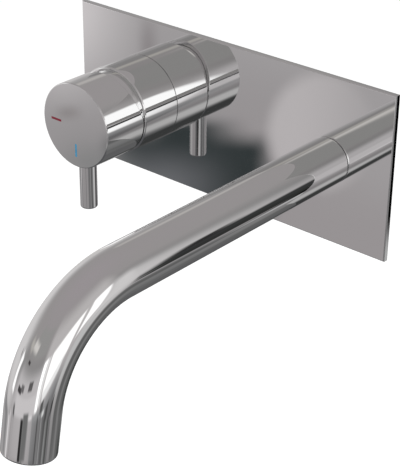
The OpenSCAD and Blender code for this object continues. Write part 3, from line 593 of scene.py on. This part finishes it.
# The studio that the chrome mirrors, as directions from the part in degrees: azimuth from straight
# out of the wall towards the spout's side, half width, soft edge, elevation, half height, soft
# edge, and its colour. Pale walls and boxes of light come first, then flags, slats, table and
# floor, which give the chrome its dark lines. A later row lies over an earlier one, and a row
# without a height is round.
STUDIO = (
    ("wall on the control's side", -92.5, 36.5, 17.8, -0.5, 22.5, 16.4, "#B9B7B7"),
    ("glow over the boxes", 79.5, 37, 6.8, 16.5, 29, 16.9, "#A5A2A2"),
    ("wall beyond the boxes", 123, 9.5, 8, -5, 23.5, 9.8, "#B9B7B7"),
    ("wall in front", 6, 44.5, 8, -2, 16, 7.9, "#A9A6A7"),
    ("ceiling beam", 5, 29.5, 5, 38, 10.5, 3.2, "#848382"),
    ("pale patch of ceiling", -36, 9, 5, 29, 3.2, 2.5, "#9F9C98"),
    ("bright end of that patch", -14.5, 13, 3.5, 33.5, 3.4, 2.5, "#B9B6B3"),
    ("strip box by the wall", -125.1, 5.1, 1.2, -3.1, 18.3, 3, "#B0AEAD"),
    ("low box by the wall", -135, 6, 3, -32.5, 3.4, 2.2, "#959394"),
    ("first tall box", 48.7, 4.5, 0.7, 1.5, 16.8, 2.1, "#FFFFFF"),
    ("first tall box, shaded side", 56.2, 3.1, 1.8, 2, 15.2, 2, "#CCCBCB"),
    ("wide box", 80.5, 18.5, 1.5, 4, 13, 2.4, "#F1F0EF"),
    ("foot of the wide box", 80.1, 16.3, 2.1, -10.2, 3, 1.9, "#D5D5D5"),
    ("light strip of ceiling by the wall", -139.4, 4.9, 3.1, 27.9, 4.3, 3.1, "#9F9C9A"),
    ("last tall box", 110, 6, 1.3, 5, 13, 2.1, "#F1F0F0"),
    ("box in front", -53.9, 5.5, 1.2, 2.7, 10.7, 1.9, "#F1F0F0"),
    ("light strip in front", 32.1, 6.8, 2.4, -13.8, 3.7, 1.8, "#CAC7C8"),
    ("table in front", 8.5, 37, 3.5, -8.5, 7, 2.4, "#B4B1B2"),
    ("stand of the box in front", -47, 2.6, 1.4, 6, 4.5, 3.6, "#8C8A8A"),
    ("shade under the boxes", 71.3, 31.4, 2.8, -20.8, 4.8, 2.8, "#838384"),
    ("floor under the boxes", 77, 35.5, 0.9, -29, 7.5, 3.6, "#666566"),
    ("slat under the boxes", 59.6, 1.8, 1.2, -26.6, 7.3, 3.1, "#464646"),
    ("second slat", 66.6, 1.5, 1.5, -29, 5, 2.8, "#757575"),
    ("gap between the slats", 73.8, 1.5, 1.1, -28.7, 5.7, 2.1, "#848484"),
    ("third slat", 83.8, 4, 2.1, -30.1, 4.9, 1.9, "#545454"),
    ("last gap", 92.2, 1.6, 1.2, -31.6, 4.2, 1.8, "#808180"),
    ("last slat", 101.1, 3.2, 1.3, -32.9, 4.2, 2, "#474847"),
    ("light on the floor", 118, 8.5, 4.7, -22, 6, 2.5, "#A9A9A9"),
    ("first stand foot", 68.6, 4.4, 1.8, -16.7, 3, 1.2, "#4D4D4D"),
    ("lit edge of a stand", 76.2, 3.4, 1.7, -21.6, 1.3, 0.9, "#C0C1C0"),
    ("second stand foot", 88.7, 4, 1.5, -24.7, 3.5, 1.4, "#464646"),
    ("third stand foot", 108.6, 3.5, 1, -28.5, 1.5, 0.6, "#3B3B3B"),
    ("black flag", 137.5, 6.5, 1.1, -12.5, 7.5, 3.4, "#2F3030"),
    ("foot of the black flag", 138.3, 5.6, 1.1, -19.7, 4.5, 1.1, "#2A2B2A"),
    ("light line under the flag", 136.3, 2.6, 1.6, -27.9, 1.2, 1.1, "#6A6A6A"),
    ("tip of the black flag", 132.6, 1.2, 0.9, -5.5, 4.8, 2.7, "#282828"),
    ("shade by the wall", 136.5, 10.5, 3.3, -33.3, 4.5, 3.1, "#555555"),
    ("light line by the wall", 148.1, 4.2, 2.3, -29.8, 2.3, 1.3, "#A0A0A0"),
    ("floor by the wall", 170.5, 10.5, 4.4, -42.5, 6, 2.6, "#565656"),
    ("dark end of the wall", 163.5, 14, 4, -23, 7, 2.9, "#515152"),
    ("end of the black flag", 147.2, 5.2, 1.4, -19.8, 7.6, 0.7, "#050505"),
    ("skirting", -162.5, 18.5, 4, -41.1, 3, 1.3, "#373938"),
    ("floor by the wall, control's side", -161.2, 24.3, 5, -47.1, 4, 1.3, "#515152"),
    ("high flag", -16.5, 5.2, 0.8, 21.9, 1.3, 0.8, "#3A3738"),
    ("long flag, far half", -22, 8, 1.1, 1.7, 2.2, 0.9, "#3C3A3B"),
    ("long flag, near half", -11, 5.8, 1.3, 4.4, 2.7, 1.3, "#615F60"),
    ("block flag", 17.4, 6.9, 1.3, 6.9, 3.5, 1.6, "#525051"),
    ("table edge", 4.4, 5, 1.8, -18.5, 2.6, 1.6, "#242424"),
    ("table edge, spout's side", 17.5, 8.9, 3.5, -16.4, 4.2, 1.9, "#616161"),
    ("table leg", 14.1, 2.4, 1.5, -24.7, 4.6, 2.1, "#5E5F5F"),
    ("table edge, control's side", -32.6, 3.4, 1.8, -13.7, 4, 2.3, "#515051"),
    ("floor on the control's side", -34, 5.2, 0.7, -27.2, 4.6, 2, "#8B8788"),
    ("shade under the table", -13, 23.5, 7, -43.5, 7, 3.5, "#363737"),
    ("shade below that floor", -34.5, 7, 3, -37.5, 4.5, 2, "#444444"),
    ("light under the table", 27.8, 13.6, 5.5, -37.7, 5.3, 3.5, "#ABAAAA"),
    ("low band on the control's side", -80, 15.1, 5.1, -24, 3, 2, "#767576"),
    ("small flag on that wall", -68.1, 3, 1.5, 5.6, 1.8, 1.2, "#848182"),
    ("dark corner seen in the plate", -40.9, 3.4, 0.7, -29.1, 5.1, 0.5, "#2D3233"),
    ("higher half of that corner", -41.2, 1.8, 1.4, -24.6, 1.3, 0.35, "#2D3233"),
    ("paler part of that corner", -42.5, 2.2, 2, -25.9, 1, 1, "#5E5F62"),
    ("round reflector", -35.2, 2.3, 0.4, -23.6, 0, 0, "#A5A1A2"),
    ("shade on the reflector", -31.6, 2.6, 2.5, -23.2, 2.8, 1.5, "#918E8F"),
    ("light beside the corner", -46.4, 1.9, 2.3, -19, 2.2, 2.4, "#BFBBBC"),
    ("low light on the control's side", -53.7, 3.6, 1.4, -23.4, 2.4, 1.2, "#C3C0C1"),
    ("shadow low on the knob's face", -45.3, 1.3, 1.3, -25, 0.5, 1.2, "#777777"),
    # Painted shade in the studio: a small dark patch that shows as a dark spot reflected in the
    # knob's face
    ("dark spot mirrored in the knob's face", -46.2, 0.5, 0.5, -22.9, 0.2, 0.3, "#7F7B7B"),
    ("thin stand beside the corner", -42.7, 0.3, 0.3, -20.6, 1.1, 1, "#7F7B7C"),
)
# Tones of the room from straight below to straight above: elevation and colour
ROOM = (
    (-60, "#464649"), (-40, "#6A6A6A"), (-25, "#848182"), (-10, "#9D9A9B"), (12, "#767575"),
    (35, "#878484"), (80, "#8A8587"))
# How bright white is in the studio that metal mirrors, and in the plain light on other surfaces
GLARE = 1.5
PLAIN_LEVEL = 0.72


def light_studio():
    """White to the camera, a grey studio with boxes and flags to metal, plain to the rest."""
    world = bpy.data.worlds.new("studio")
    world.use_nodes = True
    tree = world.node_tree
    tree.nodes.clear()
    way = add(tree, "SeparateXYZ", {0: add(tree, "TexCoord").outputs["Generated"]})
    outwards = add(tree, "Math", {0: way.outputs[1], 1: -1.0}, operation="MULTIPLY")
    turn = add(tree, "Math", {0: way.outputs[0], 1: outwards}, operation="ARCTAN2")
    rise = add(tree, "Math", {0: way.outputs[2]}, operation="ARCSINE")
    across = add(tree, "CombineXYZ", {0: turn, 1: rise})
    colour = linear(ROOM[0][1])
    for (low, _), (high, tone) in zip(ROOM, ROOM[1:]):
        step = add(tree, "MapRange", {
            "Value": rise, "From Min": math.radians(low), "From Max": math.radians(high)})
        colour = add(
            tree, "Mix", {AMOUNT: step, FIRST: colour, SECOND: linear(tone)}, data_type="RGBA")
    for _, azimuth, half_w, soft_w, elevation, half_h, soft_h, tone in STUDIO:
        if half_h:
            offset = add(
                tree, "Math", {0: turn, 1: math.radians(azimuth)}, operation="SUBTRACT")
            wrapped = add(tree, "Math", {0: offset, 1: math.pi, 2: -math.pi}, operation="WRAP")
            beside = add(tree, "Math", {0: wrapped}, operation="ABSOLUTE")
            height = add(
                tree, "Math", {0: rise, 1: math.radians(elevation)}, operation="SUBTRACT")
            above = add(tree, "Math", {0: height}, operation="ABSOLUTE")
            edges = ((beside, half_w, soft_w), (above, half_h, soft_h))
        else:
            middle = (math.radians(azimuth), math.radians(elevation), 0)
            away = add(tree, "VectorMath", {0: across, 1: middle}, operation="DISTANCE")
            edges = ((away, half_w, soft_w),)
        inside = 1.0
        for distance, edge, soft in edges:
            fade = add(tree, "MapRange", {
                "Value": distance, "From Min": math.radians(edge + soft),
                "From Max": math.radians(edge - soft)}, interpolation_type="SMOOTHSTEP")
            inside = add(tree, "Math", {0: inside, 1: fade}, operation="MULTIPLY")
        colour = add(
            tree, "Mix", {AMOUNT: inside, FIRST: colour, SECOND: linear(tone)}, data_type="RGBA")
    ray = add(tree, "LightPath")
    mirrored = add(
        tree, "Math", {0: ray.outputs["Is Glossy Ray"], 1: ray.outputs["Is Transmission Ray"]},
        operation="MAXIMUM")
    plain = add(tree, "Background", {"Color": linear("#FFFFFF"), "Strength": PLAIN_LEVEL})
    studio = add(tree, "Background", {"Color": colour, "Strength": GLARE})
    ground = add(tree, "Background", {"Color": linear("#FFFFFF"), "Strength": 1.0})
    lit = add(tree, "MixShader", {0: mirrored, 1: plain, 2: studio})
    shown = add(tree, "MixShader", {0: ray.outputs["Is Camera Ray"], 1: lit, 2: ground})
    add(tree, "OutputWorld", {"Surface": shown})
    bpy.context.scene.world = world


light_studio()

# The floor lies below the part, and a soft lamp above and in front gives the part its form. Sizes
# are in metres and the lamp's power in watts. The lift shows the floor a little paler than its
# light would.
FLOOR_DROP = 0.5
FLOOR_SIZE = 12.0
FLOOR_LIFT = 0.2
LAMP_PLACE = Vector((0.5, -1.1, 1.3))
LAMP_SIZE = 1.2
LAMP_POWER = 22.0


def make_stage():
    """Plain pale floor and a soft lamp that leaves the mirrors alone."""
    bm = bmesh.new()
    bmesh.ops.create_grid(bm, x_segments=1, y_segments=1, size=FLOOR_SIZE / 2)
    bmesh.ops.translate(bm, vec=(0, 0, -FLOOR_DROP), verts=bm.verts)
    floor = shape("floor", bm)
    floor.visible_glossy = False
    material = bpy.data.materials.new("pale_floor")
    material.use_nodes = True
    tree = material.node_tree
    tree.nodes.clear()
    paint = add(tree, "BsdfDiffuse", {"Color": linear("#FFFFFF")})
    lift = add(tree, "Emission", {"Color": linear("#FFFFFF"), "Strength": FLOOR_LIFT})
    seen = add(tree, "MixShader", {
        0: add(tree, "LightPath").outputs["Is Camera Ray"], 1: paint,
        2: add(tree, "AddShader", {0: paint, 1: lift})})
    add(tree, "OutputMaterial", {"Surface": seen})
    floor.data.materials.append(material)
    lamp = bpy.data.lights.new("soft_lamp", "AREA")
    lamp.size = LAMP_SIZE
    lamp.energy = LAMP_POWER
    holder = bpy.data.objects.new("soft_lamp", lamp)
    holder.visible_glossy = False
    aim = LAMP_PLACE.to_track_quat("Z", "Y").to_matrix().to_4x4()
    holder.matrix_world = Matrix.Translation(LAMP_PLACE) @ aim
    bpy.context.scene.collection.objects.link(holder)


make_stage()


def make_camera():
    """Camera at the photograph's place and angle."""
    data = bpy.data.cameras.new("camera")
    data.sensor_fit = "HORIZONTAL"
    data.lens = CAMERA_FOCAL_PX / IMAGE_W * data.sensor_width
    data.clip_start = CAMERA_NEAR
    camera = bpy.data.objects.new("camera", data)
    bpy.context.scene.collection.objects.link(camera)
    turn = math.radians(CAMERA_TURN)
    dip = math.radians(CAMERA_DIP)
    roll = math.radians(CAMERA_ROLL)
    ahead = Vector((
        -math.sin(turn) * math.cos(dip), math.cos(turn) * math.cos(dip), -math.sin(dip)))
    right = Vector((math.cos(turn), math.sin(turn), 0))
    up = right.cross(ahead)
    side = right * math.cos(roll) + up * math.sin(roll)
    top = up * math.cos(roll) - right * math.sin(roll)
    aim = Matrix((side, top, -ahead)).transposed().to_4x4()
    camera.matrix_world = Matrix.Translation(CAMERA_PLACE) @ aim
    bpy.context.scene.camera = camera


make_camera()

bpy.context.scene.view_settings.view_transform = "Standard"
